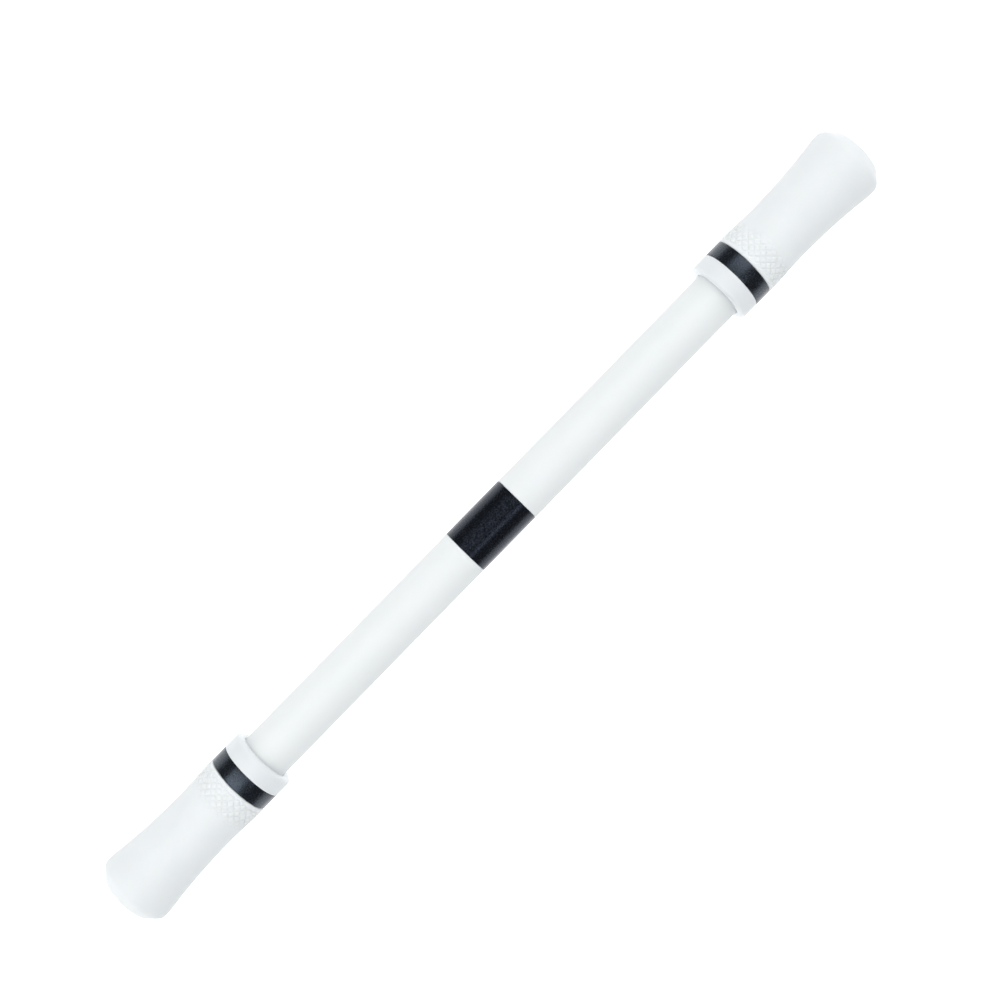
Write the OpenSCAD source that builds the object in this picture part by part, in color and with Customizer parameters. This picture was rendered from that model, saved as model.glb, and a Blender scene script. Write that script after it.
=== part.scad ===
// Double-ended pen for pen spinning, with a flared, weighted silicone cap on each end.
// The long axis is X, and the origin is the balance point, on the axis at the middle of the centre band.
// The writing end points along +X. All sizes are in millimetres.

/* [Barrel] */
// Length over both caps
pen_len = 208; // [207:0.5:216]
// Outside diameter of the barrel tube
barrel_d = 10.4; // [10:0.1:10.6]
// Bore of the barrel tube
barrel_bore_d = 8; // [7.6:0.1:8.2]
// Length of barrel that shows between the two caps
barrel_shown = 128.4; // [122:0.2:129.4]
// Length of barrel spigot that goes into each cap
spigot_len = 12; // [11:0.5:13]

/* [Centre band] */
// Length of the black band
band_len = 14.6; // [8:0.2:24]
// Thickness of the black band
band_wall = 0.4; // [0.3:0.1:0.6]

/* [Caps] */
// Diameter of the collar and of the black ring
collar_d = 14.04; // [13.6:0.02:14.4]
// Length of the collar at the cap's mouth
collar_len = 3.9; // [3.4:0.1:4.6]
// Rounding of the collar's mouth edge
collar_round = 1.5; // [0.8:0.1:1.6]
// Length of the black ring
ring_len = 3.7; // [3:0.1:4.4]
// Wall of the hard inner cap
core_wall = 0.8; // [0.7:0.05:0.9]
// Diameter of the soft grip at its narrowest
waist_d = 13.64; // [13.4:0.02:13.8]
// Diameter of the soft grip at its flared end
flare_d = 16; // [15:0.1:18]
// Slope of the bevel round the flared end, in degrees from the end plane
bevel_slope = 45; // [38:1:48]
// Free room inside the front cap, ahead of the writing ball
nib_room = 5.1; // [4.6:0.1:5.4]

/* [Weights] */
// Diameter of the steel weights
weight_d = 8; // [6:0.5:8.5]
// Length of the front cap's weight
front_weight_len = 4.5; // [3:0.1:6]
// Length of the tail cap's weight, which is longer to balance the refill
tail_weight_len = 6.6; // [3:0.1:7]

/* [Writing parts] */
// Diameter of the writing ball
ball_d = 0.7; // [0.7:0.1:1]
// Outside diameter of the refill's ink tube
refill_d = 3; // [2.8:0.1:3.2]
// Length of the refill's ink tube
refill_len = 92; // [80:1:110]
// Length of the ink in the tube
ink_len = 72; // [20:1:75]
// Length of the section's nose cone
cone_len = 8; // [7:0.5:8.5]

/* [Hidden] */
$fn = 96;

// Colours
white_barrel = "#EEF3F2";
white_cap = "#EDF0F3";
black_trim = "#17181C";
steel = "#A9ADB2";
nickel_silver = "#C9C2A8";
clear_plastic = "#DCE6EA";
ink_blue = "#1B2A8C";
rubber_grey = "#6E7378";

// Clearances: between pieces that pull apart, and beside each end of the band
slip = 0.03;
cone_gap = 0.3;
band_gap = 0.05;
edge = 0.3;

// Barrel
mouth_x = barrel_shown / 2;
barrel_end_x = mouth_x + spigot_len;
shoulder_x = mouth_x + 0.5;
spigot_r = barrel_d / 2 - 0.1;
bore_r = barrel_bore_d / 2;
band_edge = 0.12;

// Section and plug, which both end in the same flange
flange_r = spigot_r - 0.1;
flange_len = 0.8;
flange_end_x = barrel_end_x + flange_len;
plug_len = 9;
plug_wall = 1.1;

// Refill
tube_r = refill_d / 2;
ink_r = tube_r - 0.6;
refill_front_x = flange_end_x + cone_len / 2;
refill_rear_x = refill_front_x - refill_len;
tip_r = 1.15;
tip_shank_len = 4;
tip_shoulder = 0.5;
nose_x = flange_end_x + cone_len;
ball_r = ball_d / 2;
ball_x = nose_x + 2.8;
ball_play = 0.02;
rim_out = 0.1;
rim_wall = 0.06;
ink_hole_r = 0.2;
spacer_len = 5;
spacer_r = bore_r - 0.1;

// Cap, measured from its mouth towards its tip
cap_len = pen_len / 2 - mouth_x;
ring_end = collar_len + ring_len;
rib_r = spigot_r + slip;
rib_count = 6;
rib_wide = 0.8;
seat_r = spigot_r + 0.2;
core_r = seat_r + core_wall;
seat_len = spigot_len + flange_len + 0.1;
hollow_r = seat_r - core_wall;
core_step = seat_len + core_wall;
hollow_end = ball_x + ball_r + nib_room - mouth_x;
core_len = hollow_end + 1;
ring_edge = 0.3;

// Outline of the soft grip
grip_start_r = 7.1;
grip_flat_len = 0.8;
waist_at = 17;
flare_power = 2.1;
land_len = 1.2;
crown_r = 24;
crown_flat_r = 5.5;
crown_round = 1.2;
corner_round = 1.5;
curve_steps = 10;
arc_steps = 6;

// Points of an arc about (cx, cy) from angle a0 to a1
function arc(cx, cy, r, a0, a1, steps = arc_steps) =
    [for (i = [0:steps]) let (a = a0 + (a1 - a0) * i / steps) [cx + r * cos(a), cy + r * sin(a)]];

// Crown of the grip: a shallow dome, a small round and a straight bevel down to the corner round
crown_tilt = asin(crown_flat_r / crown_r);
crown_drop = crown_r * (1 - cos(crown_tilt));
bevel_top_r = crown_flat_r + crown_round * (sin(bevel_slope) - sin(crown_tilt));
bevel_top = cap_len - crown_drop - crown_round * (cos(crown_tilt) - cos(bevel_slope));
corner_r = flare_d / 2 - corner_round;
corner_at = bevel_top
    - (corner_r + corner_round * sin(bevel_slope) - bevel_top_r) * tan(bevel_slope)
    - corner_round * cos(bevel_slope);
flare_at = corner_at - land_len;

// Radius of the grip's side at distance u from the cap's mouth
function neck_r(u) =
    let (share = (u - ring_end - grip_flat_len) / (waist_at - ring_end - grip_flat_len))
    waist_d / 2 + (grip_start_r - waist_d / 2) * (1 + cos(180 * share)) / 2;
function flare_r(u) =
    waist_d / 2 + (flare_d - waist_d) / 2 * pow((u - waist_at) / (flare_at - waist_at), flare_power);

// Outside of the grip as [radius, u], from the ring to the tip
grip_outline = concat(
    arc(grip_start_r - edge, ring_end + edge, edge, -90, 0),
    [for (i = [0:curve_steps])
        let (u = ring_end + grip_flat_len + (waist_at - ring_end - grip_flat_len) * i / curve_steps)
        [neck_r(u), u]],
    [for (i = [1:2 * curve_steps])
        let (u = waist_at + (flare_at - waist_at) * i / (2 * curve_steps))
        [flare_r(u), u]],
    arc(corner_r, corner_at, corner_round, 0, 90 - bevel_slope),
    arc(crown_flat_r - crown_round * sin(crown_tilt),
        cap_len - crown_drop - crown_round * cos(crown_tilt),
        crown_round, 90 - bevel_slope, 90 - crown_tilt),
    arc(0, cap_len - crown_r, crown_r, 90 - crown_tilt, 90)
);

// Turns an outline of [radius, distance] points about the X axis
module turned(outline) {
    rotate([0, 90, 0]) rotate_extrude() polygon(outline);
}

// A bar along X from x0 to x1
module rod(r, x0, x1) {
    translate([x0, 0, 0]) rotate([0, 90, 0]) cylinder(r = r, h = x1 - x0);
}

// Places a cap: the front one on the writing end, the tail one mirrored on the other
module front_end() {
    translate([mouth_x, 0, 0]) children();
}

module tail_end() {
    mirror([1, 0, 0]) front_end() children();
}

// One-piece barrel: a recess for the band in the middle and a stepped spigot on each end
module barrel_tube() {
    recess_x = band_len / 2 + band_gap;
    recess_r = barrel_d / 2 - band_wall;
    half = [
        [recess_r, 0], [recess_r, recess_x], [barrel_d / 2, recess_x],
        [barrel_d / 2, shoulder_x], [spigot_r, shoulder_x],
        [spigot_r, barrel_end_x - edge], [spigot_r - edge, barrel_end_x],
    ];
    other_half = [for (i = [len(half) - 1:-1:1]) [half[i][0], -half[i][1]]];
    inside = [[bore_r, barrel_end_x], [bore_r, -barrel_end_x]];
    color(white_barrel) turned(concat(other_half, half, inside));
}

// Black sleeve that marks the balance point, flush with the barrel
module centre_band() {
    inner = barrel_d / 2 - band_wall;
    outer = barrel_d / 2 - band_edge;
    half_len = band_len / 2;
    color(black_trim) turned(concat(
        [[inner, -half_len]],
        arc(outer, -half_len + band_edge, band_edge, -90, 0),
        arc(outer, half_len - band_edge, band_edge, 0, 90),
        [[inner, half_len]]
    ));
}

// Cup-shaped plug pressed into the barrel's tail
module tail_plug() {
    floor_at = barrel_end_x - plug_wall;
    color(white_barrel) mirror([1, 0, 0]) turned([
        [bore_r - plug_wall, barrel_end_x - plug_len], [bore_r - edge, barrel_end_x - plug_len],
        [bore_r, barrel_end_x - plug_len + edge], [bore_r, barrel_end_x],
        [flange_r, barrel_end_x], [flange_r, flange_end_x],
        [0, flange_end_x], [0, floor_at], [bore_r - plug_wall, floor_at],
    ]);
}

// Nose of the pen: slides into the barrel and holds the refill
module writing_section() {
    plug_r = bore_r - slip;
    start_x = barrel_end_x - plug_len;
    cone_r = hollow_r - cone_gap;
    nose_r = tip_r + 0.35;
    nose_round = 0.25;
    tube_hole_r = tube_r + slip;
    tip_hole_r = tip_r + slip;
    color(white_barrel) turned(concat(
        [
            [tube_hole_r, start_x], [plug_r - edge, start_x], [plug_r, start_x + edge],
            [plug_r, barrel_end_x], [flange_r, barrel_end_x], [flange_r, flange_end_x],
            [cone_r, flange_end_x],
        ],
        arc(nose_r - nose_round, nose_x - nose_round, nose_round, 0, 90),
        [
            [tip_hole_r, nose_x], [tip_hole_r, refill_front_x], [tube_hole_r, refill_front_x],
        ]
    ));
}

// Clear plastic ink tube
module refill_tube() {
    color(clear_plastic) difference() {
        rod(tube_r, refill_rear_x, refill_front_x);
        rod(ink_r, refill_rear_x - 1, refill_front_x + 1);
    }
}

// Ink behind the tip
module ink_column() {
    ink_front_x = refill_front_x - tip_shank_len;
    color(ink_blue) rod(ink_r, ink_front_x - ink_len, ink_front_x);
}

// Metal tip pressed into the tube, with a crimped socket for the ball
module refill_tip() {
    taper_x = nose_x + tip_shoulder;
    rim_x = ball_x + rim_out;
    seat_ball_r = ball_r + ball_play;
    color(nickel_silver) difference() {
        turned([
            [0, refill_front_x - tip_shank_len], [ink_r, refill_front_x - tip_shank_len],
            [ink_r, refill_front_x], [tip_r, refill_front_x], [tip_r, taper_x],
            [seat_ball_r + rim_wall, rim_x], [0, rim_x],
        ]);
        translate([ball_x, 0, 0]) sphere(r = seat_ball_r);
        rod(ink_hole_r, refill_front_x - tip_shank_len - 1, ball_x);
    }
}

// Ball that rolls in the tip's socket
module writing_ball() {
    color(steel) translate([ball_x, 0, 0]) sphere(r = ball_r);
}

// Fluted rubber ring that keeps the refill's tail from rattling in the barrel
module refill_spacer() {
    flute_r = 1.2;
    color(rubber_grey) difference() {
        rod(spacer_r, refill_rear_x, refill_rear_x + spacer_len);
        rod(tube_r, refill_rear_x - 1, refill_rear_x + spacer_len + 1);
        for (turn = [45:90:315])
            rotate([turn, 0, 0]) translate([0, spacer_r, 0])
                rod(flute_r, refill_rear_x - 1, refill_rear_x + spacer_len + 1);
    }
}

// Hard inner cap with the collar on its mouth, and crush ribs that grip the spigot
module cap_core() {
    lead = 0.1;
    mouth_round = min(collar_round, collar_d / 2 - seat_r - lead);
    rib_start = 2;
    rib_end = spigot_len - 1;
    hollow_outer_r = hollow_r + core_wall;
    color(white_cap) {
        turned(concat(
            [[seat_r + lead, 0]],
            arc(collar_d / 2 - mouth_round, mouth_round, mouth_round, -90, 0),
            [
                [collar_d / 2, collar_len], [core_r, collar_len], [core_r, core_step],
                [hollow_outer_r, core_step], [hollow_outer_r, core_len], [0, core_len],
                [0, hollow_end], [hollow_r, hollow_end], [hollow_r, seat_len],
                [seat_r, seat_len], [seat_r, lead],
            ]
        ));
        intersection() {
            difference() {
                rod(seat_r + core_wall / 2, rib_start, rib_end);
                rod(rib_r, rib_start - 1, rib_end + 1);
            }
            for (i = [0:rib_count - 1])
                rotate([i * 360 / rib_count, 0, 0])
                    translate([rib_start - 1, 0, -rib_wide / 2])
                        cube([rib_end - rib_start + 2, core_r, rib_wide]);
        }
    }
}

// Black ring trapped between the collar and the soft grip
module cap_ring() {
    outer = collar_d / 2 - ring_edge;
    color(black_trim) turned(concat(
        [[core_r, collar_len]],
        arc(outer, collar_len + ring_edge, ring_edge, -90, 0),
        arc(outer, ring_end - ring_edge, ring_edge, 0, 90),
        [[core_r, ring_end]]
    ));
}

// Soft flared grip moulded over the core, with a pocket for the weight
module cap_grip(weight_len) {
    hollow_outer_r = hollow_r + core_wall;
    pocket_end = core_len + weight_len;
    color(white_cap) turned(concat(
        [[core_r, ring_end]],
        grip_outline,
        [
            [0, pocket_end], [weight_d / 2, pocket_end], [weight_d / 2, core_len],
            [hollow_outer_r, core_len], [hollow_outer_r, core_step], [core_r, core_step],
        ]
    ));
}

// Steel weight in the grip's flared end
module cap_weight(weight_len) {
    r = weight_d / 2;
    end = core_len + weight_len;
    color(steel) turned([
        [0, core_len], [r - edge, core_len], [r, core_len + edge],
        [r, end - edge], [r - edge, end], [0, end],
    ]);
}

barrel_tube();
centre_band();
tail_plug();
writing_section();
refill_tube();
ink_column();
refill_tip();
refill_spacer();
writing_ball();
front_end() cap_core();  // front_cap_core
front_end() cap_ring();  // front_cap_ring
front_end() cap_grip(front_weight_len);  // front_cap_grip
front_end() cap_weight(front_weight_len);  // front_cap_weight
tail_end() cap_core();  // tail_cap_core
tail_end() cap_ring();  // tail_cap_ring
tail_end() cap_grip(tail_weight_len);  // tail_cap_grip
tail_end() cap_weight(tail_weight_len);  // tail_cap_weight
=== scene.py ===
import bmesh
import bpy
import math
from mathutils import Matrix, Vector


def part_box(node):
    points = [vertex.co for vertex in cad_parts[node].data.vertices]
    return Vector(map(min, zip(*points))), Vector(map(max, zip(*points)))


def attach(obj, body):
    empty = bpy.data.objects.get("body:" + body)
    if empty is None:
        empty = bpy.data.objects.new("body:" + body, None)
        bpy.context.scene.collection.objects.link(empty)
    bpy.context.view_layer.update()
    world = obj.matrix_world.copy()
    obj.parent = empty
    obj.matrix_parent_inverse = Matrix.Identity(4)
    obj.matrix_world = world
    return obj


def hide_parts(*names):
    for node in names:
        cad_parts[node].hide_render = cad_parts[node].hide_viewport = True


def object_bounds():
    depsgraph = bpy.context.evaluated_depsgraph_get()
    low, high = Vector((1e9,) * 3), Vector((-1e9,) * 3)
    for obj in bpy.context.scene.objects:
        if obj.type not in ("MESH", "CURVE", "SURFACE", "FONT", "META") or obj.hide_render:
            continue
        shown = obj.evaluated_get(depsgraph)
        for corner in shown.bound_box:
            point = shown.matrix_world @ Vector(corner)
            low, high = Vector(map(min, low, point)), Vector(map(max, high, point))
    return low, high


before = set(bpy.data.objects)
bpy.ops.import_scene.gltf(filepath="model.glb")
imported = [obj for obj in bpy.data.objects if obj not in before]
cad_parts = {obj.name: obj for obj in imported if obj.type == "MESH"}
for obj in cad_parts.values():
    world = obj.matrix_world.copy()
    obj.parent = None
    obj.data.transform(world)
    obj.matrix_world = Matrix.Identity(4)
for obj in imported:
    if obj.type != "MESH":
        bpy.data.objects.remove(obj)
cad_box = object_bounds()

MM = 0.001


# ---------------------------------------------------------------- sizes, in mm
def span(node):
    """Lowest and highest x of a CAD node, in mm."""
    low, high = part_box(node)
    return low.x / MM, high.x / MM


def radius(node):
    """Largest radius of a CAD node that is turned about X, in mm."""
    low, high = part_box(node)
    return round((high.z - low.z) / 2 / MM, 2)


# Places on the axis, from the balance point. Where both ends are alike, they are the front end's.
BAND_HALF = span("centre_band")[1]
MOUTH = span("front_cap_core")[0]
SHOULDER = MOUTH + 0.5
BARREL_END = span("barrel_tube")[1]
FLANGE_END = -span("tail_plug")[0]
PLUG_START = -span("tail_plug")[1]
NOSE = span("writing_section")[1]
TUBE_REAR, TUBE_FRONT = span("refill_tube")
SPACER_REAR, SPACER_FRONT = span("refill_spacer")
TIP_REAR, TIP_FRONT = span("refill_tip")

# Radii, walls and gaps
SLIP = 0.03
BARREL_R = radius("barrel_tube")
BAND_WALL = 0.4
BAND_GAP = 0.05
SPIGOT_R = BARREL_R - 0.1
FLANGE_R = SPIGOT_R - 0.1
BORE_R = 4.0
PLUG_WALL = 1.1
TUBE_R = radius("refill_tube")
TUBE_HOLE_R = TUBE_R + SLIP
INK_R = radius("ink_column")
TIP_R = radius("refill_tip")
TIP_HOLE_R = TIP_R + SLIP
BALL_R = radius("writing_ball")
SPACER_R = radius("refill_spacer")

# The caps. Lengths are from the cap's mouth.
COLLAR_R = radius("front_cap_core")
COLLAR_LEN = span("front_cap_ring")[0] - MOUTH
COLLAR_ROUND = 1.5
RING_R = radius("front_cap_ring")
RING_END = span("front_cap_ring")[1] - MOUTH
SEAT_R = SPIGOT_R + 0.2
SEAT_LEN = FLANGE_END + 0.1 - MOUTH
CORE_WALL = 0.8
CORE_R = SEAT_R + CORE_WALL
CORE_STEP = SEAT_LEN + 0.9
CORE_END = span("front_cap_core")[1] - MOUTH
HOLLOW_R = SEAT_R - CORE_WALL
WEIGHT_R = radius("front_cap_weight")
GRIP_START_R = 7.1
FLARE_R = radius("front_cap_grip")
CAP_LEN = span("front_cap_grip")[1] - MOUTH


# ---------------------------------------------------------------- turned solids
def rounded(points, steps=6):
    """Outline of (x, r, fillet) points with an arc at each corner that has a fillet. An arc uses less than
    half of the straights next to it, so that two arcs never meet."""
    most = 0.49
    made = []
    n = len(points)
    for i, (x, r, fillet) in enumerate(points):
        if not fillet:
            made.append((x, r))
            continue
        here = Vector((x, r))
        back = Vector(points[i - 1][:2]) - here
        ahead = Vector(points[(i + 1) % n][:2]) - here
        a, b = back.normalized(), ahead.normalized()
        half = a.angle(b) / 2
        reach = min(fillet / math.tan(half), back.length * most, ahead.length * most)
        size = reach * math.tan(half)
        centre = here + (a + b).normalized() * (size / math.sin(half))
        start, end = here + a * reach - centre, here + b * reach - centre
        turn = start.angle(end)
        for k in range(steps + 1):
            f = k / steps
            p = start * math.sin((1 - f) * turn) + end * math.sin(f * turn)
            p = centre + p / math.sin(turn)
            made.append((p.x, p.y))
    return made


def divided(outline, longest):
    """The outline with every straight longer than longest cut into equal lengths."""
    made = []
    n = len(outline)
    for i, (x, r) in enumerate(outline):
        nx, nr = outline[(i + 1) % n]
        parts = max(1, math.ceil(math.hypot(nx - x, nr - r) / longest))
        for k in range(parts):
            made.append((x + (nx - x) * k / parts, r + (nr - r) * k / parts))
    return made


def turned(name, outline, around=144, relief=None, longest=3.0):
    """Closed solid of revolution about X from a loop of (x, r) points in mm.
    Points on the axis become poles, and two of them in a row have no faces between them.
    relief(x, r, angle) gives how far the surface goes in, in mm."""
    outline = divided(outline, longest)
    n = len(outline)
    on_axis = 1e-6
    verts, rings = [], []
    for x, r in outline:
        if r < on_axis:
            rings.append([len(verts)] * around)
            verts.append((x * MM, 0, 0))
            continue
        ring = []
        for k in range(around):
            a = 2 * math.pi * k / around
            deep = relief(x, r, a) if relief else 0
            ring.append(len(verts))
            verts.append((x * MM, (r - deep) * MM * math.cos(a), (r - deep) * MM * math.sin(a)))
        rings.append(ring)
    faces = []
    for i in range(n):
        j = (i + 1) % n
        if outline[i][1] < on_axis and outline[j][1] < on_axis:
            continue
        one, two = rings[i], rings[j]
        for k in range(around):
            m = (k + 1) % around
            face = [one[k], one[m], two[m], two[k]]
            faces.append([v for p, v in enumerate(face) if v not in face[:p]])
    mesh = bpy.data.meshes.new(name)
    mesh.from_pydata(verts, [], faces)
    mesh.validate()
    piece = bpy.data.objects.new(name, mesh)
    bpy.context.scene.collection.objects.link(piece)
    smooth(piece)
    return piece


def smooth(piece):
    """Shades a mesh smooth with outward normals weighted by face area, so long faces stay true."""
    mesh = piece.data
    work = bmesh.new()
    work.from_mesh(mesh)
    bmesh.ops.remove_doubles(work, verts=work.verts, dist=1e-9)
    bmesh.ops.recalc_face_normals(work, faces=work.faces)
    work.to_mesh(mesh)
    work.free()
    mesh.shade_smooth()
    modifier = piece.modifiers.new("normals", "WEIGHTED_NORMAL")
    modifier.mode = "FACE_AREA"
    modifier.weight = 60


def mirror(piece):
    """Turns a piece of the front end into the tail end's."""
    for v in piece.data.vertices:
        v.co.x = -v.co.x
    piece.data.flip_normals()


# ---------------------------------------------------------------- material tools
def sockets(material):
    """Inputs of a material's Principled shader."""
    return material.node_tree.nodes["Principled BSDF"].inputs


def plain(name, color, rough, metallic=0.0):
    """A material of one colour."""
    material = bpy.data.materials.new(name)
    material.use_nodes = True
    inputs = sockets(material)
    inputs["Base Color"].default_value = (*color, 1)
    inputs["Roughness"].default_value = rough
    inputs["Metallic"].default_value = metallic
    return material


def noise(tree, scale, detail, stretch):
    """Noise fixed to the piece. scale is in features per mm."""
    place = tree.nodes.new("ShaderNodeTexCoord")
    mapping = tree.nodes.new("ShaderNodeMapping")
    mapping.inputs["Scale"].default_value = stretch
    texture = tree.nodes.new("ShaderNodeTexNoise")
    texture.inputs["Scale"].default_value = scale / MM
    texture.inputs["Detail"].default_value = detail
    tree.links.new(place.outputs["Object"], mapping.inputs["Vector"])
    tree.links.new(mapping.outputs["Vector"], texture.inputs["Vector"])
    return texture.outputs["Fac"]


def uneven_rough(tree, inputs, fac, low, high):
    """Roughness between two values by noise, which stays near 0.5."""
    node = tree.nodes.new("ShaderNodeMapRange")
    node.inputs["From Min"].default_value = 0.3
    node.inputs["From Max"].default_value = 0.7
    node.inputs["To Min"].default_value = low
    node.inputs["To Max"].default_value = high
    tree.links.new(fac, node.inputs["Value"])
    tree.links.new(node.outputs["Result"], inputs["Roughness"])


def two_tone(tree, inputs, fac, one, two):
    """Base colour between two colours by noise."""
    ramp = tree.nodes.new("ShaderNodeValToRGB")
    ramp.color_ramp.elements[0].position = 0.32
    ramp.color_ramp.elements[1].position = 0.68
    ramp.color_ramp.elements[0].color = (*one, 1)
    ramp.color_ramp.elements[1].color = (*two, 1)
    tree.links.new(fac, ramp.inputs["Fac"])
    tree.links.new(ramp.outputs["Color"], inputs["Base Color"])


def grain(tree, inputs, fac, depth):
    """Bump from noise, with its depth in mm."""
    bump = tree.nodes.new("ShaderNodeBump")
    bump.inputs["Distance"].default_value = depth * MM
    bump.inputs["Strength"].default_value = 1.0
    tree.links.new(fac, bump.inputs["Height"])
    tree.links.new(bump.outputs["Normal"], inputs["Normal"])


def surface(name, one, two, rough, patch, grit, depth, wobble=0.05, stretch=(1, 1, 1), metallic=0.0):
    """A moulded or machined surface: two close colours in patches, roughness that goes wobble up and down
    with them, and a fine grain. patch and grit are in features per mm, depth is in mm."""
    material = plain(name, one, rough, metallic)
    tree, inputs = material.node_tree, sockets(material)
    patches = noise(tree, patch, 4.0, stretch)
    two_tone(tree, inputs, patches, one, two)
    uneven_rough(tree, inputs, patches, rough - wobble, rough + wobble)
    grain(tree, inputs, noise(tree, grit, 2.0, stretch), depth)
    return material


def milky(material, level, weight, reach, shares):
    """Lets light reach some way into a white plastic, in mm, with a share of it for each colour."""
    inputs = sockets(material)
    inputs["Specular IOR Level"].default_value = level
    inputs["Subsurface Weight"].default_value = weight
    inputs["Subsurface Radius"].default_value = shares
    inputs["Subsurface Scale"].default_value = reach * MM


def blue_gloss(material, ior, tint, sheen, sheen_rough, sheen_tint):
    """Bluish shine of a black plastic, strongest at its edges."""
    inputs = sockets(material)
    inputs["IOR"].default_value = ior
    inputs["Specular Tint"].default_value = (*tint, 1)
    inputs["Sheen Weight"].default_value = sheen
    inputs["Sheen Roughness"].default_value = sheen_rough
    inputs["Sheen Tint"].default_value = (*sheen_tint, 1)


def see_through(material, share, ior):
    """Makes a share of a plastic clear."""
    inputs = sockets(material)
    inputs["Transmission Weight"].default_value = share
    inputs["IOR"].default_value = ior


def glowing(material, level, color, strength):
    """A matt surface that gives off light."""
    inputs = sockets(material)
    inputs["Specular IOR Level"].default_value = level
    inputs["Emission Color"].default_value = (*color, 1)
    inputs["Emission Strength"].default_value = strength


# ---------------------------------------------------------------- materials
barrel_white = surface(
    "soft_touch_white", (0.74, 0.772, 0.779), (0.755, 0.78, 0.787),
    rough=0.48, patch=0.12, grit=5.0, depth=0.006,
)
milky(barrel_white, level=0.3, weight=0.5, reach=0.5, shares=(1.0, 0.95, 0.85))

cap_white = surface(
    "moulded_white", (0.695, 0.727, 0.747), (0.707, 0.739, 0.757),
    rough=0.42, patch=0.15, grit=4.0, depth=0.006,
)
milky(cap_white, level=0.4, weight=0.6, reach=0.7, shares=(1.0, 0.95, 0.85))

silicone = surface(
    "silicone_white", (0.723, 0.753, 0.768), (0.737, 0.766, 0.78),
    rough=0.52, patch=0.2, grit=3.5, depth=0.012,
)
milky(silicone, level=0.35, weight=0.7, reach=0.9, shares=(1.0, 0.95, 0.9))

BLACKS = (0.0004, 0.0006, 0.001), (0.0045, 0.005, 0.0065)
band_black = surface(
    "printed_black", *BLACKS, rough=0.23, patch=3.0, grit=4.0, depth=0.03, wobble=0.13,
)
blue_gloss(band_black, 1.7, (0.3, 0.36, 0.5), sheen=0.34, sheen_rough=0.2, sheen_tint=(0.5, 0.75, 1.0))

ring_black = surface(
    "moulded_black", *BLACKS, rough=0.25, patch=3.0, grit=4.0, depth=0.03, wobble=0.1,
)
blue_gloss(ring_black, 1.6, (0.65, 0.79, 1.0), sheen=0.12, sheen_rough=0.25, sheen_tint=(0.7, 0.85, 1.0))

steel = surface(
    "turned_steel", (0.56, 0.57, 0.59), (0.66, 0.67, 0.69),
    rough=0.34, patch=0.4, grit=3.0, depth=0.004, stretch=(6, 1, 1), metallic=1.0,
)
nickel_silver = surface(
    "turned_nickel_silver", (0.6, 0.56, 0.45), (0.68, 0.64, 0.53),
    rough=0.24, patch=0.5, grit=4.0, depth=0.003, stretch=(8, 1, 1), metallic=1.0,
)
carbide = surface(
    "ball_carbide", (0.42, 0.43, 0.45), (0.55, 0.56, 0.58),
    rough=0.2, patch=3.0, grit=12.0, depth=0.001, metallic=1.0,
)
spacer_rubber = surface(
    "grey_rubber", (0.2, 0.215, 0.23), (0.27, 0.285, 0.3),
    rough=0.72, patch=0.8, grit=4.0, depth=0.02,
)
ink = surface(
    "blue_ink", (0.008, 0.014, 0.2), (0.012, 0.02, 0.27),
    rough=0.2, patch=0.3, grit=2.0, depth=0.003,
)
clear_plastic = surface(
    "clear_plastic", (0.9, 0.94, 0.96), (0.94, 0.97, 0.98),
    rough=0.14, patch=0.2, grit=3.0, depth=0.003, stretch=(0.1, 1, 1),
)
see_through(clear_plastic, share=0.9, ior=1.5)


def place(piece, body, slot, material, node):
    """Finishes a piece: material, body and the CAD node that it stands for. slot is not used."""
    piece.data.materials.clear()
    piece.data.materials.append(material)
    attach(piece, body)
    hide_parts(node)


# ---------------------------------------------------------------- barrel, band and plug
recess = BAND_HALF + BAND_GAP
half = [
    (BARREL_END, BORE_R, 0.12), (BARREL_END, SPIGOT_R, 0.35), (SHOULDER, SPIGOT_R, 0.04),
    (SHOULDER, BARREL_R, 0.06), (recess, BARREL_R, 0.07), (recess, BARREL_R - BAND_WALL, 0),
]
other_half = [(-x, r, fillet) for x, r, fillet in reversed(half)]
place(
    turned("barrel_shell", rounded(half + other_half)),
    "barrel", "barrel_white", barrel_white, "barrel_tube",
)
place(
    turned("balance_band", rounded([
        (-BAND_HALF, BARREL_R - BAND_WALL, 0), (-BAND_HALF, BARREL_R, 0.12),
        (BAND_HALF, BARREL_R, 0.12), (BAND_HALF, BARREL_R - BAND_WALL, 0),
    ])),
    "barrel", "trim_black", band_black, "centre_band",
)

# A cup with a shallow dimple in the middle of its flange
plug_floor = BARREL_END - PLUG_WALL
dimple_r = 1.6
dimple_floor = FLANGE_END - 0.12
place(
    turned("end_plug", rounded([
        (-PLUG_START, BORE_R - PLUG_WALL, 0.15), (-PLUG_START, BORE_R, 0.3), (-BARREL_END, BORE_R, 0),
        (-BARREL_END, FLANGE_R, 0.12), (-FLANGE_END, FLANGE_R, 0.15), (-FLANGE_END, dimple_r, 0.06),
        (-dimple_floor, dimple_r - 0.15, 0.06), (-dimple_floor, 0, 0),
        (-plug_floor, 0, 0), (-plug_floor, BORE_R - PLUG_WALL, 0.3),
    ])),
    "barrel", "barrel_white", cap_white, "tail_plug",
)


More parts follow.
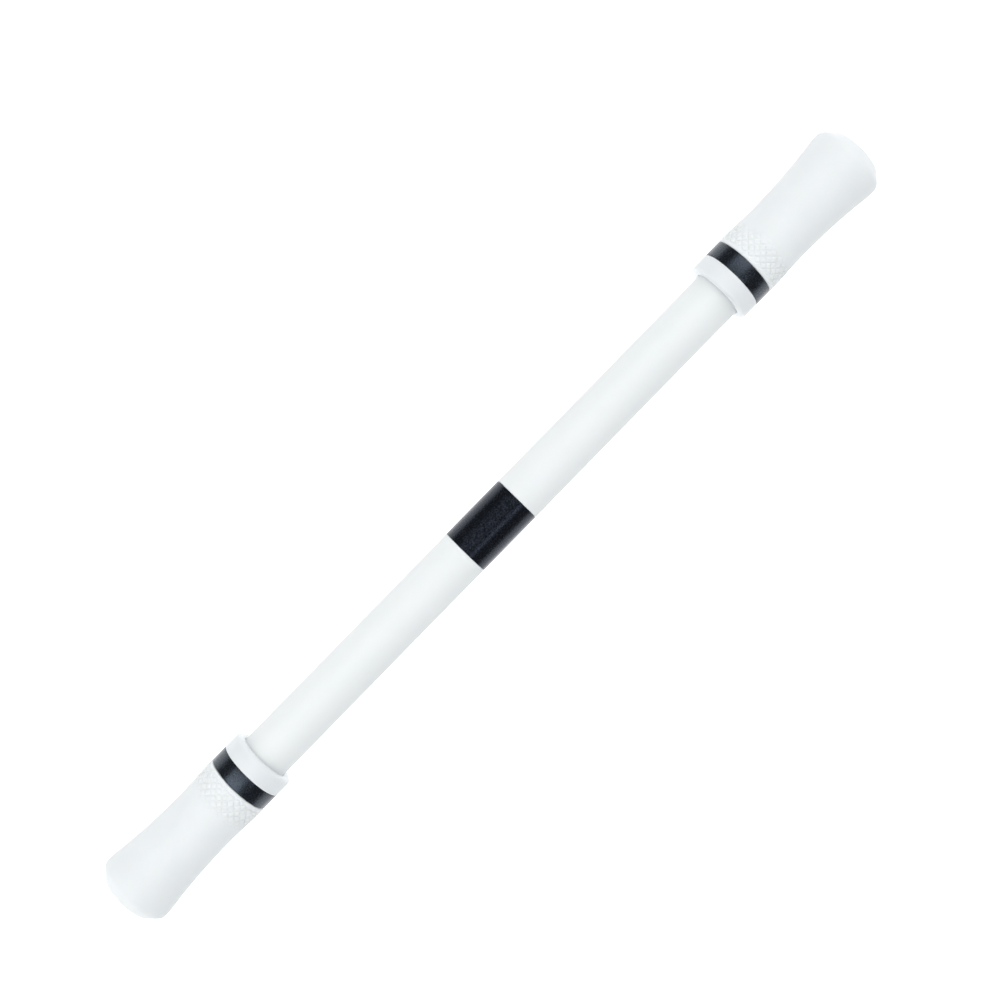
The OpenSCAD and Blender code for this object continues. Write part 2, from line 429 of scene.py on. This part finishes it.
# ---------------------------------------------------------------- writing section and refill
section_plug_r = BORE_R - SLIP
cone_r = HOLLOW_R - 0.3
nose_r = TIP_R + 0.35
place(
    turned("nose_section", rounded([
        (PLUG_START, TUBE_HOLE_R, 0.15), (PLUG_START, section_plug_r, 0.3),
        (BARREL_END, section_plug_r, 0), (BARREL_END, FLANGE_R, 0.12), (FLANGE_END, FLANGE_R, 0.15),
        (FLANGE_END, cone_r, 0.08), (NOSE, nose_r, 0.22), (NOSE, TIP_HOLE_R, 0.04),
        (TUBE_FRONT, TIP_HOLE_R, 0), (TUBE_FRONT, TUBE_HOLE_R, 0),
    ])),
    "section", "barrel_white", cap_white, "writing_section",
)
place(
    turned("ink_tube", rounded([
        (TUBE_REAR, INK_R, 0.08), (TUBE_REAR, TUBE_R, 0.12),
        (TUBE_FRONT, TUBE_R, 0.12), (TUBE_FRONT, INK_R, 0.08),
    ]), 72),
    "refill", "refill_clear", clear_plastic, "refill_tube",
)

# The tip tapers in two steps to a rim round the ball, and its socket leads to the ink hole
ink_hole_r = 0.2
place(
    turned("ball_tip", rounded([
        (TIP_REAR, ink_hole_r, 0), (TIP_REAR, INK_R, 0.08), (TUBE_FRONT, INK_R, 0),
        (TUBE_FRONT, TIP_R, 0.06), (NOSE + 0.5, TIP_R, 0.1), (TIP_FRONT - 0.9, 0.66, 0.3),
        (TIP_FRONT, BALL_R + 0.08, 0.02), (TIP_FRONT, BALL_R + 0.005, 0),
        (TIP_FRONT - 0.1, BALL_R + 0.02, 0), (TIP_FRONT - 0.3, BALL_R - 0.04, 0),
        (TIP_FRONT - 0.42, ink_hole_r, 0),
    ]), 96, longest=0.5),
    "refill", "tip_nickel_silver", nickel_silver, "refill_tip",
)

FLUTE_R = 1.2


def fluted(x, r, a):
    """Four round flutes down the outside of the spacer."""
    if r < TUBE_R + 0.5:
        return 0
    off = abs(a % (math.pi / 2) - math.pi / 4)
    side = SPACER_R * math.sin(off)
    return math.sqrt(FLUTE_R ** 2 - side ** 2) * r / SPACER_R if side < FLUTE_R else 0


place(
    turned("spacer_ring", rounded([
        (SPACER_REAR, TUBE_R, 0), (SPACER_REAR, SPACER_R, 0.35),
        (SPACER_FRONT, SPACER_R, 0.35), (SPACER_FRONT, TUBE_R, 0),
    ]), 192, fluted, longest=0.6),
    "refill", "rubber_grey", spacer_rubber, "refill_spacer",
)


# ---------------------------------------------------------------- cap core and ring
RIBS = 6
RIB_START, RIB_END = 1.7, 11.3
RIB_HALF, RIB_SIDE, RIB_HIGH = 0.55, 0.25, 0.17
RIB_LEAD = 0.3


def ribs(x, r, a):
    """Crush ribs along the bore of the cap's core."""
    along = x - MOUTH
    if r > SEAT_R + 0.05 or along < RIB_START or along > RIB_END:
        return 0
    step = 2 * math.pi / RIBS
    off = abs((a + step / 2) % step - step / 2) * SEAT_R
    side = min(1, max(0, (RIB_HALF - off) / RIB_SIDE))
    end = min(1, (along - RIB_START) / RIB_LEAD, (RIB_END - along) / RIB_LEAD)
    return RIB_HIGH * side * end


def core_outline():
    """Half of a core's section: collar, seat for the barrel's spigot, and closed hollow for the nose."""
    lead = 0.1
    return rounded([
        (MOUTH, SEAT_R + lead, 0.05), (MOUTH, COLLAR_R, COLLAR_ROUND), (MOUTH + COLLAR_LEN, COLLAR_R, 0.12),
        (MOUTH + COLLAR_LEN, CORE_R, 0), (MOUTH + CORE_STEP, CORE_R, 0), (MOUTH + CORE_STEP, SEAT_R, 0),
        (MOUTH + CORE_END, SEAT_R, 0), (MOUTH + CORE_END, 0, 0), (MOUTH + CORE_END - 1, 0, 0),
        (MOUTH + CORE_END - 1, HOLLOW_R, 0.5), (MOUTH + SEAT_LEN, HOLLOW_R, 0.1),
        (MOUTH + SEAT_LEN, SEAT_R, 0), (MOUTH + lead, SEAT_R, 0),
    ], 12)


def ring_outline():
    """Half of a ring's section, with its two outer edges rounded."""
    edge = 0.28
    return rounded([
        (MOUTH + COLLAR_LEN, CORE_R, 0), (MOUTH + COLLAR_LEN, RING_R, edge),
        (MOUTH + RING_END, RING_R, edge), (MOUTH + RING_END, CORE_R, 0),
    ], 8)


# ---------------------------------------------------------------- soft grip
FLAT_END = RING_END + 0.8
WAIST_R, WAIST_AT = 6.82, 17.0
FLARE_POWER = 2.1
BEVEL = math.radians(45)
CORNER_ROUND, LAND_LEN = 1.5, 1.2
CROWN_R, CROWN_FLAT_R, CROWN_ROUND = 24, 5.5, 1.2
CROWN_TILT = math.asin(CROWN_FLAT_R / CROWN_R)
CROWN_DROP = CROWN_R * (1 - math.cos(CROWN_TILT))
BEVEL_TOP_R = CROWN_FLAT_R + CROWN_ROUND * (math.sin(BEVEL) - math.sin(CROWN_TILT))
BEVEL_TOP = CAP_LEN - CROWN_DROP - CROWN_ROUND * (math.cos(CROWN_TILT) - math.cos(BEVEL))
BEVEL_WIDTH = FLARE_R - CORNER_ROUND * (1 - math.sin(BEVEL)) - BEVEL_TOP_R
CORNER_AT = BEVEL_TOP - BEVEL_WIDTH * math.tan(BEVEL) - CORNER_ROUND * math.cos(BEVEL)
FLARE_AT = CORNER_AT - LAND_LEN


def side_r(u):
    """Radius of the grip's side at u mm from the cap's mouth: down to the waist, then out to the flare."""
    if u < WAIST_AT:
        share = max(0, (u - FLAT_END) / (WAIST_AT - FLAT_END))
        return WAIST_R + (GRIP_START_R - WAIST_R) * (1 + math.cos(math.pi * share)) / 2
    if u > FLARE_AT:
        return FLARE_R
    share = (u - WAIST_AT) / (FLARE_AT - WAIST_AT)
    return WAIST_R + (FLARE_R - WAIST_R) * share ** FLARE_POWER


def arc(cx, cy, r, start, end, steps):
    """Points (u, r) of an arc that goes from angle start to end, from the radial direction to the axis."""
    made = []
    for k in range(steps + 1):
        a = start + (end - start) * k / steps
        made.append((cy + r * math.sin(a), cx + r * math.cos(a)))
    return made


LATTICE_START, LATTICE_END = RING_END + 0.6, RING_END + 6.4
LATTICE_LEN = LATTICE_END - LATTICE_START
DIAMONDS_AROUND, DIAMONDS_ALONG = 26, 3.5
FADE_IN, FADE_OUT = 0.3, 2.2
GROOVE_HALF, GROOVE_SIDE, GROOVE_DEEP = 0.24, 0.15, 0.16
SLANT = 0.72


def grip_outline(weight_len):
    """Loop of (x, r) points round half of a grip's section, close together where the lattice is."""
    edge = 0.3
    step, margin, coarse_steps = 0.11, 0.2, 60
    made = arc(GRIP_START_R - edge, RING_END + edge, edge, -math.pi / 2, 0, 6)
    fine_steps = int((LATTICE_LEN + 2 * margin) / step)
    fine = [LATTICE_START - margin + k * step for k in range(fine_steps + 1)]
    coarse = [fine[-1] + (FLARE_AT - fine[-1]) * (k + 1) / coarse_steps for k in range(coarse_steps)]
    made += [(u, side_r(u)) for u in fine + coarse]
    to_bevel, to_crown = math.pi / 2 - BEVEL, math.pi / 2 - CROWN_TILT
    made += arc(FLARE_R - CORNER_ROUND, CORNER_AT, CORNER_ROUND, 0, to_bevel, 10)
    made += arc(
        CROWN_FLAT_R - CROWN_ROUND * math.sin(CROWN_TILT),
        CAP_LEN - CROWN_DROP - CROWN_ROUND * math.cos(CROWN_TILT),
        CROWN_ROUND, to_bevel, to_crown, 8,
    )
    made += arc(0, CAP_LEN - CROWN_R, CROWN_R, to_crown, math.pi / 2, 14)[:-1]
    made.append((CAP_LEN, 0))
    pocket = CORE_END + weight_len
    made += [
        (pocket, 0), (pocket, WEIGHT_R), (CORE_END, WEIGHT_R), (CORE_END, SEAT_R),
        (CORE_STEP, SEAT_R), (CORE_STEP, CORE_R), (RING_END, CORE_R),
    ]
    return [(MOUTH + u, r) for u, r in made]


def off_whole(value):
    """Distance to the nearest whole number."""
    return 0.5 - abs(value % 1 - 0.5)


def lattice(x, r, a):
    """Diamond lattice of fine grooves round the grip, which fades out away from the ring."""
    u = x - MOUTH
    if r < WAIST_R or u < LATTICE_START or u > LATTICE_END:
        return 0
    across = a / (2 * math.pi) * DIAMONDS_AROUND
    along = (u - LATTICE_START) / LATTICE_LEN * DIAMONDS_ALONG
    wide = 2 * math.pi * GRIP_START_R / DIAMONDS_AROUND
    near = min(off_whole(across + along), off_whole(across - along)) * wide * SLANT
    deep = min(1, max(0, (GROOVE_HALF - near) / GROOVE_SIDE))
    fade = min(1, (u - LATTICE_START) / FADE_IN, (LATTICE_END - u) / FADE_OUT)
    return GROOVE_DEEP * fade * deep * deep * (3 - 2 * deep)


def build_cap(cap, tail):
    """Core, ring and grip of the cap on the front end, or on the tail end."""
    weight_start, weight_end = span(cap + "_weight")
    core = turned(cap + "_shell", core_outline(), 288, ribs, longest=1.0)
    ring = turned(cap + "_trim", ring_outline(), 192)
    grip = turned(cap + "_sleeve", grip_outline(weight_end - weight_start), 480, lattice, longest=0.8)
    if tail:
        for piece in (core, ring, grip):
            mirror(piece)
    place(core, cap, "cap_white", cap_white, cap + "_core")
    place(ring, cap, "trim_black", ring_black, cap + "_ring")
    place(grip, cap, "grip_silicone", silicone, cap + "_grip")


build_cap("front_cap", tail=False)
build_cap("tail_cap", tail=True)

# CAD nodes that stay, with their finishes
for node, material in (
    ("ink_column", ink),
    ("writing_ball", carbide),
    ("front_cap_weight", steel),
    ("tail_cap_weight", steel),
):
    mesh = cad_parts[node].data
    mesh.materials.clear()
    mesh.materials.append(material)


# ---------------------------------------------------------------- stage, in metres
STAGE_REACH = 8.0
floor_white = plain("floor_white", (0.3, 0.3, 0.3), 0.8)
glowing(floor_white, level=0.1, color=(0.98, 0.99, 1.0), strength=1.14)


def stage_mesh(name, verts, faces):
    """A white piece of the studio, which isn't part of the object."""
    mesh = bpy.data.meshes.new(name)
    mesh.from_pydata(verts, [], faces)
    mesh.materials.append(floor_white)
    piece = bpy.data.objects.new(name, mesh)
    bpy.context.scene.collection.objects.link(piece)
    return piece


corners = [(x * STAGE_REACH, y * STAGE_REACH) for x, y in ((-1, -1), (1, -1), (1, 1), (-1, 1))]
low = [(x, y, cad_box[0].z) for x, y in corners]
high = [(x, y, STAGE_REACH) for x, y in corners]
stage_mesh("floor", low, [(0, 1, 2, 3)])

# The walls only stand behind the object in low views, and neither light it nor show in its reflections
walls = stage_mesh("walls", low + high, [(k, (k + 1) % 4, (k + 1) % 4 + 4, k + 4) for k in range(4)])
walls.visible_diffuse = False
walls.visible_glossy = False
walls.visible_transmission = False
walls.visible_shadow = False


# ---------------------------------------------------------------- light, in metres and watts
LIGHT_AWAY = 1.2
KEY_COLOR = (1.0, 0.985, 0.97)


def softbox(name, toward, along, across, power, color=(1.0, 1.0, 1.0)):
    """A rectangular soft light in direction toward, with one side in line with the pen."""
    data = bpy.data.lights.new(name, "AREA")
    data.shape = "RECTANGLE"
    data.size = along
    data.size_y = across
    data.energy = power
    data.color = color
    light = bpy.data.objects.new(name, data)
    bpy.context.scene.collection.objects.link(light)
    back = Vector(toward).normalized()
    side = (Vector((1, 0, 0)) - back * back.x).normalized()
    turn = Matrix((side, back.cross(side), back)).transposed().to_4x4()
    light.matrix_world = Matrix.Translation(back * LIGHT_AWAY) @ turn
    light.visible_camera = False


softbox("key_front", (0.39, 0.24, 1), along=0.43, across=1.2, power=3.65, color=KEY_COLOR)
softbox("key_tail", (-0.39, 0.24, 1), along=0.43, across=1.2, power=4.9, color=KEY_COLOR)
softbox("fill", (0, -0.6, 1), along=0.36, across=0.14, power=0.6)
softbox("front_end", (1, 0, 0.8), along=1.0, across=1.2, power=8.0)
softbox("tail_end", (-1, 0, 0.8), along=1.0, across=1.2, power=7.3)

world = bpy.data.worlds.new("studio")
world.use_nodes = True
sky = world.node_tree.nodes["Background"]
sky.inputs["Color"].default_value = (0.95, 0.98, 1.0, 1)
sky.inputs["Strength"].default_value = 0.19
bpy.context.scene.world = world
bpy.context.scene.view_settings.view_transform = "Standard"


# ---------------------------------------------------------------- camera, in metres
# It looks straight down, turned so that the pen runs up to the right
TILT = math.radians(45.65)
CAMERA_UP = 0.33
OFF_RIGHT, OFF_UP = 0.00176, 0.00502
right = Vector((math.cos(TILT), -math.sin(TILT), 0))
up = Vector((math.sin(TILT), math.cos(TILT), 0))

cam_data = bpy.data.cameras.new("camera")
cam_data.lens = 59.8
cam_data.sensor_width = 36.0
cam_data.clip_start = 0.01
cam_data.clip_end = 50.0
camera = bpy.data.objects.new("camera", cam_data)
bpy.context.scene.collection.objects.link(camera)
camera.location = right * OFF_RIGHT + up * OFF_UP + Vector((0, 0, CAMERA_UP))
camera.rotation_euler = (0, 0, -TILT)
bpy.context.scene.camera = camera
